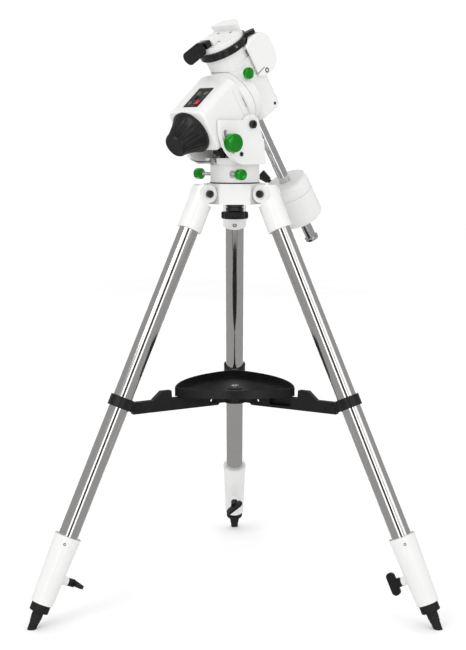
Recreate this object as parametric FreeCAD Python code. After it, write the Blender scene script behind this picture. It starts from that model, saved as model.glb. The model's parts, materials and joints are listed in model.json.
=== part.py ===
import FreeCAD, Part
import math
import os

from FreeCAD import Placement, Rotation, Vector

# German equatorial mount on a folding steel tripod. Millimetres, +Z up.
# The azimuth axis is modelled at x = y = 0 and the whole assembly is then moved by ROW_SHIFT,
# so that the origin is the bottom centre of the bounding box.

X, Y, Z = Vector(1, 0, 0), Vector(0, 1, 0), Vector(0, 0, 1)
FAR = 3000.0

# ---------------------------------------------------------------- tripod: driving dimensions
LEG_AZIMUTHS = (90.0, 210.0, 330.0)
LEG_TILT = 24.64                    # leg axis from the vertical, degrees
LEG_PIVOT_R = 82.0
LEG_PIVOT_Z = 935.0
TUBE_R = 22.225                     # 1.75 inch tube
TUBE_WALL = 1.3
INNER_TUBE_R = 19.0
RUN_CLEAR = 0.05                    # radial clearance of a running fit
GAP = 0.4                           # gap between bodies that move past each other
BARREL_R = 28.0
BARREL_END = 87.0                   # distances along the leg are measured down from its pivot
TUBE_TOP, TUBE_END = 42.0, 862.0
LOWER_TOP, LOWER_END = 814.0, 969.0
LOWER_TOP_R, LOWER_END_R = 30.0, 25.0
CLAMP_AT = 909.0
CLAMP_ANGLES = (45.0, 90.0, 0.0)    # how far each wing knob is turned from its leg's line
INNER_TOP = 500.0
COLLAR_END = 988.0
FOOT_R = LEG_PIVOT_R + LEG_PIVOT_Z * math.tan(math.radians(LEG_TILT))

# ---------------------------------------------------------------- tripod head
HEAD_TOP, HEAD_BOTTOM = 957.0, 911.0
HEAD_FACE = 62.0                    # axis to each flat face between two legs
EAR_R = 20.0                        # round end of a leg's ears about its pivot
TONGUE_HALF = 14.3                  # the head's tongue between a leg's two ears
EAR_OUT = 28.0
EAR_FLOOR = 29.0                    # below this depth the barrel is full again
CENTRE_BOLT_R = 6.0
LOCK_TOP, LOCK_BOTTOM, LOCK_R = 893.0, 876.0, 31.0

# ---------------------------------------------------------------- spreader and tray
ARM_PIVOT_R, ARM_PIN_R, ARM_Z = 258.0, 52.0, 462.0
ARM_HALF = 7.0
ARM_BOTTOM, ARM_TOP, ARM_HUMP = 450.5, 477.0, 496.0
PIN_R = 3.0
SLOT_HALF = PIN_R + 1.2
SLOT_RUN = 12.0                     # play of the hub's pin along an arm while the arm rises
TRAY_R, TRAY_BOTTOM, TRAY_TOP = 159.0, 481.0, 500.0
TRAY_SIDE_R, TRAY_SIDE_CENTRE = 259.0, 142.77     # each side is an arc about a point near a corner
BAND_R, BAND_TOP, BAND_END = 27.0, 488.0, 513.0

# ---------------------------------------------------------------- mount head
HEAD_TURN = 42.0                    # plan direction of the polar axis, degrees from +X
LATITUDE = 33.0
CROSSING_U, CROSSING_Z = 23.0, 1169.0   # where polar and declination axes meet
BASE_R, BASE_TOP, WASHER_TOP = 56.0, 1000.0, 959.5
FORK_R, FORK_PLATE_TOP = 66.0, 1014.0
EAR_IN, EAR_OUTSIDE = 63.0, 75.0
PIVOT_U, PIVOT_Z, PIVOT_R = -16.0, 1088.0, 6.0
EAR_ARC_R = 93.0
LOCK_SLOT_R, LOCK_ANGLE = 81.0, 210.0
PEG_U, PEG_R = -35.0, 5.0
AZ_BOLT_SPREAD = 80.0
AZ_BOLT_Z = 978.0
TONGUE_U = (-22.0, -10.0)
TONGUE_BOTTOM = 1018.0
FRONT_BOLT_TILT = 22.0
FRONT_BOLT_Z = 1024.0                # where its axis meets the tongue's face
REAR_BOLT_Z = 1036.0

# ---------------------------------------------------------------- polar (right ascension) unit
GAP_X, NECK_R = -40.0, 70.0         # joint plane between polar housing and declination head
POLAR_FRONT = -178.0
SIDE_NEAR, SIDE_FAR = -62.0, 56.0
SHAFT_R = 20.0
BEARING_R = 32.0
RA_WHEEL_R, DEC_WHEEL_R = 38.0, 30.0
WORM_R, WORM_GAP = 7.0, 0.3
TOOTH_PITCH = 1.66
MOTOR_DROP = 8.3                     # polar motor axis below its worm's
RA_WHEEL_X = -94.0
CAP_SPIGOT_R = 38.0

# ---------------------------------------------------------------- declination unit
DEC_NECK_R, DEC_NECK_TOP = 50.0, 99.5
DEC_BOTTOM = -72.0
RING_R, RING_BOTTOM, RING_TOP = 57.0, 100.0, 116.5
SPIGOT_R = 45.0
DEC_SHAFT_R = 14.0
DEC_WHEEL_Z = 40.0
CLUTCH_KNOB_X, CLUTCH_KNOB_Z = -21.0, 49.0
BAR_R, BAR_END = 13.0, -411.0
WEIGHT_R, WEIGHT_TOP, WEIGHT_END = 53.0, -250.0, -357.0

# ---------------------------------------------------------------- saddle
PUCK_R, PUCK_BOTTOM, PUCK_TOP = 53.0, 117.0, 130.0
SADDLE_HOLE, SADDLE_HOLE_R = 20.0, 3.3
JAW_TOP = 145.0
CLAMP_Z = 135.5

# The box runs from the near feet to the rear foot, so its centre is behind the azimuth axis.
BOX_CENTRE_Y = 126.793
ROW_SHIFT = Vector(0, -BOX_CENTRE_Y, 0)


# ================================================================ small helpers
def cyl(radius, start, end, axis=Z, centre=Vector()):
    """Cylinder from start to end along axis, through centre."""
    return Part.makeCylinder(radius, end - start, centre + axis * start, axis)


def ring(outer, inner, start, end, axis=Z, centre=Vector()):
    return cyl(outer, start, end, axis, centre).cut(cyl(inner, start - 1, end + 1, axis, centre))


def cone(r_start, r_end, start, end, axis=Z, centre=Vector()):
    return Part.makeCone(r_start, r_end, end - start, centre + axis * start, axis)


def box(x, y, z):
    """Box from three (low, high) pairs."""
    return Part.makeBox(x[1] - x[0], y[1] - y[0], z[1] - z[0], Vector(x[0], y[0], z[0]))


def profile(points, low, high):
    """Prism of an (x, z) outline between two values of y."""
    corners = [Vector(px, low, pz) for px, pz in points]
    face = Part.Face(Part.makePolygon(corners + corners[:1]))
    return face.extrude(Vector(0, high - low, 0))


def lathe(points, axis=Z):
    """Solid of revolution of an (along, radius) outline about an axis through the origin."""
    side = Vector(0, 1, 0) if abs(axis.y) < 0.5 else Vector(1, 0, 0)
    corners = [axis * along + side * radius for along, radius in points]
    face = Part.Face(Part.makePolygon(corners + corners[:1]))
    return face.revolve(Vector(), axis, 360)


def edges_along(shape, axis, test=lambda middle: True):
    """Straight edges parallel to axis whose middle passes the test."""
    found = []
    for edge in shape.Edges:
        if not isinstance(edge.Curve, Part.Line):
            continue
        middle = (edge.Vertexes[0].Point + edge.Vertexes[-1].Point) * 0.5
        if abs(abs(edge.Curve.Direction.dot(axis)) - 1) < 1e-6 and test(middle):
            found.append(edge)
    return found


def fuse(*shapes):
    return shapes[0].multiFuse(list(shapes[1:])).removeSplitter()


def group(*shapes):
    return Part.makeCompound(list(shapes))


def move(shape, placement):
    """Copy of a shape, moved."""
    copy = shape.copy()
    copy.Placement = placement.multiply(copy.Placement)
    return copy


def save(name, shape):
    solids = shape.Solids
    broken = [solid for solid in solids if not solid.isValid()]
    extent = shape.BoundBox
    print(f"{name:26s} solids {len(solids)} volume {shape.Volume / 1000:8.1f} cm3"
          f" z {extent.ZMin:7.1f} {extent.ZMax:7.1f}{'  INVALID' if broken or not solids else ''}")
    out = move(shape, Placement(ROW_SHIFT, Rotation()))
    out.exportStep(f"parts/{name}.step")


# ================================================================ frames
HEAD = Placement(Vector(), Rotation(Z, HEAD_TURN))
POLAR_LOCAL = Placement(Vector(CROSSING_U, 0, CROSSING_Z), Rotation(Y, -LATITUDE))
POLAR = HEAD.multiply(POLAR_LOCAL)          # x: polar axis, z: declination axis, -y: near side


def leg_plane(azimuth):
    """x outwards, y along the tangent, z up."""
    return Placement(Vector(), Rotation(Z, azimuth))


def leg_line(azimuth):
    """Origin on the leg's pivot, -z down along the leg, x outwards."""
    tilt = Placement(Vector(LEG_PIVOT_R, 0, LEG_PIVOT_Z), Rotation(Y, -LEG_TILT))
    return leg_plane(azimuth).multiply(tilt)


# ================================================================ tripod head
def tripod_head():
    """Hexagonal casting with a tongue for each leg, and the azimuth peg on top."""
    faces = []
    for azimuth in LEG_AZIMUTHS:
        half = box((-HEAD_FACE, FAR), (-FAR, FAR), (HEAD_BOTTOM, HEAD_TOP))
        faces.append(move(half, leg_plane(azimuth)))
    body = cyl(95.0, HEAD_BOTTOM, HEAD_TOP).common(faces[0]).common(faces[1]).common(faces[2])
    for azimuth in LEG_AZIMUTHS:
        plane = leg_plane(azimuth)
        beyond = box((LEG_PIVOT_R - EAR_R - 1.5, FAR), (-FAR, FAR), (0, FAR))
        body = body.cut(move(beyond, plane))
        web = box((0, LEG_PIVOT_R), (-TONGUE_HALF, TONGUE_HALF),
                  (LEG_PIVOT_Z - EAR_R + 5, LEG_PIVOT_Z + EAR_R - 2))
        knuckle = cyl(EAR_R - 2, -TONGUE_HALF, TONGUE_HALF, Y, Vector(LEG_PIVOT_R, 0, LEG_PIVOT_Z))
        hole = cyl(5.0, -40, 40, Y, Vector(LEG_PIVOT_R, 0, LEG_PIVOT_Z))
        body = body.fuse(move(web.fuse(knuckle).cut(hole), plane))
    body = body.cut(cyl(CENTRE_BOLT_R + RUN_CLEAR, 0, FAR))
    peg = move(cyl(PEG_R, HEAD_TOP - 4, 986.0, Z, Vector(PEG_U, 0, 0)), HEAD)
    return fuse(body, peg)


def azimuth_washer():
    return ring(BASE_R + 0.6, 46.0, HEAD_TOP, WASHER_TOP)


def leg_pivot_bolts():
    """A bolt with a cap head at each end through every leg's ears."""
    bolts = []
    for azimuth in LEG_AZIMUTHS:
        at = Vector(LEG_PIVOT_R, 0, LEG_PIVOT_Z)
        parts = [cyl(5.0, -EAR_OUT - 0.5, EAR_OUT + 0.5, Y, at)]
        for side in (-1, 1):
            near = side * (EAR_OUT + GAP)
            far = side * (EAR_OUT + 7.0)
            head = cyl(8.3, min(near, far), max(near, far), Y, at)
            recess = cyl(3.6, min(far, far - side * 4), max(far, far - side * 4), Y, at)
            parts.append(head.cut(recess))
        bolts.append(move(fuse(*parts), leg_plane(azimuth)))
    return group(*bolts)


def centre_lock_knob():
    """Bolt from below that holds the mount head down, with its washer and lobed knob."""
    bolt = fuse(cyl(CENTRE_BOLT_R, LOCK_BOTTOM + 4, 996.0),
                cyl(20.5, LOCK_TOP + 1, 902.0),
                cyl(17.0, 902.0, 904.0),
                cyl(20.5, 904.0, HEAD_BOTTOM - GAP))
    knob = cyl(LOCK_R, LOCK_BOTTOM, LOCK_TOP)
    lobes = 8
    for i in range(lobes):
        turn = Rotation(Z, 360.0 * i / lobes)
        at = turn.multVec(Vector(LOCK_R + 4.5, 0, 0))
        knob = knob.cut(cyl(8.0, 0, FAR, Z, at))
    knob = knob.cut(cyl(CENTRE_BOLT_R, LOCK_BOTTOM + 4, FAR))
    neck = ring(14.0, CENTRE_BOLT_R, LOCK_TOP, LOCK_TOP + 1)
    return group(bolt, fuse(knob, neck))


# ================================================================ legs
def leg_castings():
    """Upper casting with two ears, and lower casting with the clamp's boss (leg line frame)."""
    upright = Placement(Vector(), Rotation(Y, LEG_TILT))        # leg line frame to leg plane frame
    top = HEAD_TOP - 2 - LEG_PIVOT_Z
    barrel = cyl(BARREL_R, -BARREL_END, 60.0)
    barrel = barrel.common(move(box((-FAR, FAR), (-FAR, FAR), (-FAR, top)), upright))
    inside = move(box((-FAR, 0), (-FAR, FAR), (-EAR_FLOOR, FAR)), upright)
    ears = cyl(EAR_R, -EAR_OUT, EAR_OUT, Y)
    upper = barrel.cut(inside).fuse(ears)
    upper = upper.cut(box((-FAR, EAR_R), (-TONGUE_HALF - GAP, TONGUE_HALF + GAP), (-EAR_R - 1, 60.0)))
    upper = upper.cut(cyl(5.0 + RUN_CLEAR, -60, 60, Y)).cut(cyl(TUBE_R, -FAR, -TUBE_TOP))
    lower = cone(LOWER_END_R, LOWER_TOP_R, -LOWER_END, -LOWER_TOP)
    boss = cyl(10.0, -38.0, 0, X, Vector(0, 0, -CLAMP_AT))
    lower = fuse(lower, boss)
    lower = lower.cut(cyl(TUBE_R, -TUBE_END, 0)).cut(cyl(INNER_TUBE_R + RUN_CLEAR, -FAR, 0))
    lower = lower.cut(cyl(4.0 + RUN_CLEAR, -60, 0, X, Vector(0, 0, -CLAMP_AT)))
    return group(upper, lower)


def leg_tube():
    return ring(TUBE_R, TUBE_R - TUBE_WALL, -TUBE_END, -TUBE_TOP)


def leg_inner_tube():
    """Lower leg section, with the guide sleeve that rides inside the outer tube."""
    tube = ring(INNER_TUBE_R, INNER_TUBE_R - 1.5, -COLLAR_END + 4, -INNER_TOP)
    guide = ring(TUBE_R - TUBE_WALL - RUN_CLEAR, INNER_TUBE_R - 1.5, -INNER_TOP - 30, -INNER_TOP)
    return fuse(tube, guide)


def leg_foot():
    """Collar, tapered rubber tip and a flat sole on the floor."""
    plug = cyl(INNER_TUBE_R - 1.5, -COLLAR_END + 4, -LOWER_END + 10)
    collar = cyl(21.5, -COLLAR_END, -LOWER_END - GAP).cut(
        ring(INNER_TUBE_R, INNER_TUBE_R - 1.5, -COLLAR_END + 4, 0))
    tip = cone(9.0, 12.5, -1045.0, -COLLAR_END)
    foot = fuse(collar, plug, tip)
    line = Placement(Vector(LEG_PIVOT_R, 0, LEG_PIVOT_Z), Rotation(Y, -LEG_TILT))
    floor = move(box((-FAR, FAR), (-FAR, FAR), (-FAR, 0)), line.inverse())
    return foot.cut(floor)


def leg_clamp_knob(angle):
    """Wing knob whose screw presses the inner tube."""
    at = Vector(0, 0, -CLAMP_AT)
    screw = cyl(4.0, -52.0, -INNER_TUBE_R - 0.3, X, at)
    hub = cyl(9.0, -56.0, -39.0, X, at)
    neck = box((-60.0, -44.0), (-3.5, 3.5), (-CLAMP_AT - 10, -CLAMP_AT + 10))
    wing = box((-72.0, -52.0), (-3.5, 3.5), (-CLAMP_AT - 26, -CLAMP_AT + 26))
    wing = wing.makeFillet(9.0, edges_along(wing, Y))
    knob = fuse(screw, hub, neck, wing)
    return move(knob, Placement(Vector(), Rotation(X, angle), at))


def leg_band():
    """Split clamp round the tube, with two ears and the pivot screw of the spreader arm."""
    pivot = leg_line(0).inverse().multVec(Vector(ARM_PIVOT_R, 0, ARM_Z))
    band = cyl(BAND_R, -BAND_END, -BAND_TOP)
    ears = box((pivot.x - 9, -10), (-ARM_HALF - 4.4, ARM_HALF + 4.4), (pivot.z - 8, pivot.z + 10))
    knuckle = cyl(10.0, -ARM_HALF - 4.4, ARM_HALF + 4.4, Y, pivot)
    between = box((-FAR, -TUBE_R - 2), (-ARM_HALF - GAP, ARM_HALF + GAP), (-FAR, 0))
    body = fuse(band, ears, knuckle).cut(cyl(TUBE_R, -FAR, 0)).cut(between)
    hole = cyl(PIN_R, -40, 40, Y, pivot)
    shank = cyl(PIN_R, -ARM_HALF - 6.5, ARM_HALF + 6.5, Y, pivot)
    heads = [cyl(5.5, ARM_HALF + 4.4, ARM_HALF + 6.5, Y, pivot),
             cyl(5.5, -ARM_HALF - 6.5, -ARM_HALF - 4.4, Y, pivot)]
    return group(body.cut(hole), fuse(shank, *heads))


def spreader_arm():
    """Deep plate from the band to the hub, slotted at its inner end (leg plane frame)."""
    outline = [(ARM_PIVOT_R + 5, ARM_BOTTOM), (ARM_PIVOT_R + 5, ARM_TOP - 4), (ARM_PIVOT_R, ARM_TOP),
               (214.0, ARM_TOP), (192.0, ARM_HUMP), (168.0, ARM_HUMP), (166.5, 478.0),
               (ARM_PIN_R + 14, 478.0), (ARM_PIN_R - 7, 468.0), (ARM_PIN_R - 7, ARM_BOTTOM + 3),
               (ARM_PIN_R - 4, ARM_BOTTOM)]
    plate = profile(outline, -ARM_HALF, ARM_HALF)
    fork = box((0, ARM_PIN_R + 24), (-4.0 - GAP, 4.0 + GAP), (0, FAR))
    slot = fuse(cyl(SLOT_HALF, -40, 40, Y, Vector(ARM_PIN_R, 0, ARM_Z)),
                box((ARM_PIN_R, ARM_PIN_R + SLOT_RUN), (-40, 40), (ARM_Z - SLOT_HALF, ARM_Z + SLOT_HALF)),
                cyl(SLOT_HALF, -40, 40, Y, Vector(ARM_PIN_R + SLOT_RUN, 0, ARM_Z)))
    pivot = cyl(PIN_R + RUN_CLEAR, -40, 40, Y, Vector(ARM_PIVOT_R, 0, ARM_Z))
    plate = plate.cut(fork).cut(slot).cut(pivot)
    lightening = box((95.0, 150.0), (-40, ARM_HALF - 2.5), (457.0, 472.0))
    plate = plate.cut(lightening.makeFillet(5.0, edges_along(lightening, Y)))
    screw = Vector(229.0, 0, ARM_Z - 1)
    return fuse(plate, cyl(5.0, -ARM_HALF - 2, ARM_HALF + 2, Y, screw))


def spreader_hub():
    """Centre boss with a lug and a pin for each arm."""
    hub = cyl(25.0, 452.0, TRAY_BOTTOM - GAP)
    pins = []
    for azimuth in LEG_AZIMUTHS:
        lug = box((15.0, ARM_PIN_R + 7), (-4.0, 4.0), (454.0, 470.0))
        at = Vector(ARM_PIN_R, 0, ARM_Z)
        lug = lug.cut(cyl(PIN_R, -40, 40, Y, at))
        hub = hub.fuse(move(lug, leg_plane(azimuth)))
        pins.append(move(cyl(PIN_R, -ARM_HALF - 1, ARM_HALF + 1, Y, at), leg_plane(azimuth)))
    return group(hub.cut(cyl(4.0 + RUN_CLEAR, 460.0, FAR)), *pins)


def tray_outline(inset, low, high):
    """Three-cornered rounded disc with its corners over the arms: three large arcs cut by a circle."""
    shape = cyl(TRAY_R - inset, low, high)
    for azimuth in LEG_AZIMUTHS:
        centre = Rotation(Z, azimuth).multVec(Vector(TRAY_SIDE_CENTRE, 0, 0))
        shape = shape.common(cyl(TRAY_SIDE_R - inset, low, high, Z, centre))
    return shape


def tray():
    """Shallow dish with a thin rolled rim."""
    dish = tray_outline(0, TRAY_BOTTOM, TRAY_TOP).cut(tray_outline(3.0, TRAY_BOTTOM + 2.5, FAR))
    boss = cyl(16.0, TRAY_BOTTOM, TRAY_BOTTOM + 5)
    return fuse(dish, boss).cut(cyl(4.0 + RUN_CLEAR, 0, FAR))


def tray_screw():
    head = cyl(9.0, TRAY_BOTTOM + 5, TRAY_BOTTOM + 10).cut(cyl(3.0, TRAY_BOTTOM + 7, FAR))
    return fuse(head, cyl(4.0, 464.0, TRAY_BOTTOM + 5))


# ================================================================ azimuth base and fork
def azimuth_bolt_axis(sign):
    """Direction of an azimuth bolt and the peg's axis, in the head frame."""
    angle = 180.0 + sign * AZ_BOLT_SPREAD
    return Rotation(Z, angle).multVec(X), Vector(PEG_U, 0, AZ_BOLT_Z)


def azimuth_base():
    """Hollow round base that turns on the tripod head."""
    body = cyl(BASE_R, WASHER_TOP, BASE_TOP).cut(cyl(44.0, 0, BASE_TOP - 12))
    body = body.cut(cyl(CENTRE_BOLT_R + RUN_CLEAR, 0, 998.0))
    for sign in (-1, 1):
        axis, peg = azimuth_bolt_axis(sign)
        body = body.cut(cyl(4.0 + RUN_CLEAR, 0, 60.0, axis, peg))
        body = body.cut(cyl(8.5, 34.0, 60.0, axis, peg))
    return move(body, HEAD)


def azimuth_bolt(sign):
    """Steel bolt whose tip presses the peg, and its anodised knob."""
    axis, peg = azimuth_bolt_axis(sign)
    bolt = cyl(4.0, PEG_R + 0.3, 70.0, axis, peg)
    knob = fuse(cone(8.0, 12.5, 61.0, 64.0, axis, peg), cyl(12.5, 64.0, 76.0, axis, peg),
                cone(12.5, 8.0, 76.0, 79.0, axis, peg))
    return move(group(bolt, knob.cut(bolt)), HEAD)


def slot_arc(radius, half_width, start, end, low, high):
    """Arc slot about the altitude pivot, from start to end degrees."""
    centre = Vector(PIVOT_U, 0, PIVOT_Z)
    band = ring(radius + half_width, radius - half_width, low, high, Y, centre)
    wedge_points = [(PIVOT_U, PIVOT_Z)]
    steps = 4
    for i in range(steps + 1):
        angle = math.radians(start + (end - start) * i / steps)
        wedge_points.append((PIVOT_U + 200 * math.cos(angle), PIVOT_Z + 200 * math.sin(angle)))
    cut = band.common(profile(wedge_points, low - 1, high + 1))
    for angle in (start, end):
        at = Vector(PIVOT_U + radius * math.cos(math.radians(angle)), 0,
                    PIVOT_Z + radius * math.sin(math.radians(angle)))
        cut = cut.fuse(cyl(half_width, low, high, Y, at))
    return cut


def fork_ear(low, high):
    """One side plate: round about the altitude pivot in front, sloping at the rear."""
    pivot = Vector(PIVOT_U, 0, PIVOT_Z)
    front = cyl(EAR_ARC_R, low, high, Y, pivot)
    front = front.common(box((-FAR, PIVOT_U), (-FAR, FAR), (BASE_TOP, 1097.0)))
    rear = profile([(PIVOT_U, BASE_TOP), (26.0, BASE_TOP), (18.0, 1050.0), (4.0, 1097.0),
                    (PIVOT_U, 1097.0)], low, high)
    return fuse(front, rear, cyl(21.0, low, high, Y, pivot))


def front_bolt_axis():
    """Direction of the front altitude bolt, towards the tongue, and a point on the tongue's face."""
    tilt = math.radians(FRONT_BOLT_TILT)
    return Vector(math.cos(tilt), 0, math.sin(tilt)), Vector(TONGUE_U[0], 0, FRONT_BOLT_Z)


def fork():
    """Base plate, two ears and the front and rear walls that hold the altitude bolts."""
    plate = cyl(FORK_R, BASE_TOP, FORK_PLATE_TOP)
    feet = box((-33.0, 26.0), (-EAR_OUTSIDE, EAR_OUTSIDE), (BASE_TOP, FORK_PLATE_TOP))
    rear = profile([(10.0, BASE_TOP), (26.0, BASE_TOP), (20.0, 1056.0), (10.0, 1056.0)],
                   -EAR_OUTSIDE, EAR_OUTSIDE)
    body = fuse(plate, feet, rear, fork_ear(-EAR_OUTSIDE, -EAR_IN), fork_ear(EAR_IN, EAR_OUTSIDE))
    body = body.cut(cyl(PIVOT_R + RUN_CLEAR, -FAR, FAR, Y, Vector(PIVOT_U, 0, PIVOT_Z)))
    body = body.cut(slot_arc(LOCK_SLOT_R, 4.6, 192.0, 227.0, -FAR, 0))
    axis, face = front_bolt_axis()
    block = box((-45.0, -38.0), (-13.0, 13.0), (FORK_PLATE_TOP - 4, 1027.0))
    body = fuse(body, block)
    notch = box((-FAR, -45.0), (-11.5, 11.5), (BASE_TOP, FAR))
    body = body.cut(notch).cut(cyl(5.0 + RUN_CLEAR, -60.0, 0, axis, face))
    body = body.cut(cyl(5.0 + RUN_CLEAR, 0, 60.0, X, Vector(0, 0, REAR_BOLT_Z)))
    return move(body, HEAD)


def altitude_pivot_bolts():
    """Cap screws through the ears into the polar housing."""
    bolts = []
    at = Vector(PIVOT_U, 0, PIVOT_Z)
    for side in (-1, 1):
        shank_ends = sorted((side * 46.0, side * EAR_OUTSIDE))
        head_ends = sorted((side * EAR_OUTSIDE, side * (EAR_OUTSIDE + 6.0)))
        recess_ends = sorted((side * (EAR_OUTSIDE + 2.5), side * (EAR_OUTSIDE + 7.0)))
        head = cyl(9.0, *head_ends, Y, at).cut(cyl(4.5, *recess_ends, Y, at))
        bolts.append(fuse(head, cyl(PIVOT_R, *shank_ends, Y, at)))
    return move(group(*bolts), HEAD)


def lock_knob_at():
    angle = math.radians(LOCK_ANGLE)
    return Vector(PIVOT_U + LOCK_SLOT_R * math.cos(angle), 0, PIVOT_Z + LOCK_SLOT_R * math.sin(angle))


def altitude_lock_knob():
    """Knob whose screw runs through the near ear's slot into the polar housing."""
    at = lock_knob_at()
    low = -EAR_OUTSIDE - 5.0
    body = lathe([(low - 22, 0), (low - 22, 17.5), (low - 19, 20.5), (low - 3, 20.5), (low, 18.0),
                  (low, 0)], Y)
    body.translate(at)
    collar = cyl(10.0, low, -EAR_OUTSIDE - GAP, Y, at)
    screw = cyl(4.0, low, -48.0, Y, at)
    return move(group(fuse(body, collar), screw), HEAD)


def altitude_bolt_front():
    """Bolt with a bright round head and a bent wire handle."""
    axis, face = front_bolt_axis()
    bolt = fuse(cone(5.0, 1.0, -8.0, -3.0, axis, face), cyl(5.0, -44.0, -8.0, axis, face))
    head = cyl(8.0, -51.0, -43.0, axis, face)
    start = face + axis * -49.0
    along = Vector(-0.75, 0.66, 0).normalize()
    knee = start + along * 30.0
    bend_r, bend = 26.0, 0.8
    middle = knee + along * bend_r * math.sin(bend / 2) + Z * bend_r * (1 - math.cos(bend / 2))
    tip = knee + along * bend_r * math.sin(bend) + Z * bend_r * (1 - math.cos(bend))
    path = Part.Wire([Part.LineSegment(start, knee).toShape(), Part.Arc(knee, middle, tip).toShape()])
    section = Part.Wire([Part.Circle(start, along, 2.2).toShape()])
    wire = path.makePipeShell([section], True, True)
    return move(fuse(bolt, head, wire), HEAD)


def altitude_bolt_rear():
    """Bolt through the rear wall, pressing the tongue from behind, and its anodised knob."""
    tip = TONGUE_U[1] + 1.4
    at = Vector(0, 0, REAR_BOLT_Z)
    bolt = fuse(cone(2.0, 5.0, tip, tip + 5, X, at), cyl(5.0, tip + 5, 44.0, X, at))
    knob = lathe([(38.0, 0), (38.0, 16.0), (41.0, 20.0), (52.0, 20.0), (55.0, 17.0), (55.0, 0)], X)
    knob.translate(at)
    return move(group(bolt, knob.cut(bolt)), HEAD)


# ================================================================ polar unit
def polar_top(x):
    """Height of the housing's sloping top above the polar axis."""
    return 66.4 + (x - (-52.0)) * 0.138


def polar_box(inset):
    """Rounded box of the polar housing, shrunk by inset, blended into the round neck."""
    front = POLAR_FRONT + inset
    outline = [(front, -50.0 + inset), (front, polar_top(front) - inset),
               (-48.0, polar_top(-48.0) - inset), (-48.0, -58.0 + inset)]
    shape = profile(outline, SIDE_NEAR + inset, SIDE_FAR - inset)
    long_edges = [edge for edge in shape.Edges
                  if abs(edge.Curve.Direction.x) > 0.9]
    shape = shape.makeFillet(max(16.0 - inset, 4.0), long_edges)
    if not inset:
        rim = [edge for edge in shape.Edges if edge.BoundBox.XMax < POLAR_FRONT + 0.5]
        shape = shape.makeFillet(6.0, rim)
    return shape.common(cone(NECK_R + 80 - inset, NECK_R - inset, -132.0, -52.0, X)
                        .fuse(cyl(NECK_R + 80 - inset, -300.0, -132.0, X)))


def in_polar_frame(shape):
    """Head frame to polar frame."""
    return move(shape, POLAR_LOCAL.inverse())


def panel_frame():
    """Origin at the control panel's centre, z out of the sloping top, x up the slope."""
    centre_x = -129.0
    slope = math.degrees(math.atan(0.138))
    return Placement(Vector(centre_x, -10.0, polar_top(centre_x)), Rotation(Y, -slope))


def polar_housing():
    """Hollow casting with bearing seats, altitude bosses and the tongue for the altitude bolts."""
    seat = BEARING_R + 5
    body = polar_box(0).fuse(cyl(NECK_R, -60.0, GAP_X - 0.5, X))
    cavity = polar_box(5.0).fuse(cyl(NECK_R - 7, -62.0, -47.0, X))
    body = body.cut(cavity)
    pivot = POLAR_LOCAL.inverse().multVec(Vector(PIVOT_U, 0, PIVOT_Z))
    lock = POLAR_LOCAL.inverse().multVec(lock_knob_at())
    bosses = [cyl(21.0, -62.0, -44.0, Y, pivot), cyl(21.0, 44.0, 62.0, Y, pivot)]
    tongue = box(TONGUE_U, (-12.0, 12.0), (TONGUE_BOTTOM, 1088.0))
    tongue = in_polar_frame(tongue.makeFillet(5.0, edges_along(tongue, Y, lambda m: m.z < 1030)))
    tongue = tongue.cut(cavity)
    seats = [cyl(seat, POLAR_FRONT + 2, -148.0, X), cyl(seat, -78.0, -46.0, X)]
    lock_boss = cyl(10.0, -61.0, -46.0, Y, lock)
    body = fuse(body, *bosses, *seats, lock_boss, tongue)
    body = body.fuse(cyl(CAP_SPIGOT_R, POLAR_FRONT - 10, POLAR_FRONT + 3, X))
    body = body.cut(cyl(PIVOT_R + RUN_CLEAR, -FAR, FAR, Y, pivot))
    body = body.cut(cyl(4.0 + RUN_CLEAR, -64.0, -47.5, Y, lock))
    body = body.cut(cyl(BEARING_R, -166.0, -147.0, X)).cut(cyl(BEARING_R, -79.0, -58.0, X))
    body = body.cut(cyl(SHAFT_R + 4, -FAR, 0, X))
    pocket = box((-32.0, 32.0), (-24.0, 24.0), (-1.5, 20.0))
    body = body.cut(move(pocket, panel_frame()))
    return move(body.removeSplitter(), POLAR)


def control_panel():
    """Panel with two hand-controller sockets, a power socket and the switch's pocket."""
    plate = box((-31.6, 31.6), (-23.6, 23.6), (-1.5, 0.8))
    plate = plate.makeFillet(2.0, edges_along(plate, Z))
    for y in (-11.0, 11.0):
        plate = plate.cut(box((8.0, 22.0), (y - 8.0, y + 8.0), (-0.6, 5.0)))
    plate = plate.cut(box((-9.0, 3.0), (-6.0, 8.0), (-0.6, 5.0)))
    plate = plate.cut(cyl(4.5, -0.6, 5.0, Z, Vector(-19.0, 12.0, 0)))
    plate = plate.cut(box((-25.4, -12.6), (-19.4, -6.6), (-1.0, 5.0)))
    return move(move(plate, panel_frame()), POLAR)


def power_switch():
    """Rocker that tips about its middle."""
    rocker = profile([(-24.5, 0.6), (-24.5, 3.4), (-19.0, 2.0), (-13.5, 3.4), (-13.5, 0.6),
                      (-19.0, -0.9)], -18.6, -7.4)
    return move(move(rocker, panel_frame()), POLAR)


def polar_cap():
    """Ribbed push-on cap over the polar scope opening."""
    start = POLAR_FRONT - 0.5
    outside = lathe([(start, 0), (start, 50.0), (start - 6, 50.0), (start - 12, 45.5), (start - 24, 39.5),
                     (start - 40, 32.0), (start - 56, 27.5), (start - 60, 25.0), (start - 60, 0)], X)
    inside = fuse(cyl(CAP_SPIGOT_R + RUN_CLEAR, start - 11, start + 1, X),
                  cone(24.0, 34.0, start - 52, start - 10.9, X))
    cap = outside.cut(inside)
    ribs = 12
    for i in range(ribs):
        groove = box((start - 52, start - 13), (-2.2, 2.2), (44.5, 60.0))
        groove.rotate(Vector(start - 13, 0, 44.5), Y, -19.0)
        groove.rotate(Vector(), X, 360.0 * (i + 0.5) / ribs)
        cap = cap.cut(groove)
    return move(cap, POLAR)


def polar_shaft():
    """Hollow polar shaft, fixed into the declination housing."""
    return move(ring(SHAFT_R, 12.0, -165.0, -30.0, X), POLAR)


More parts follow.
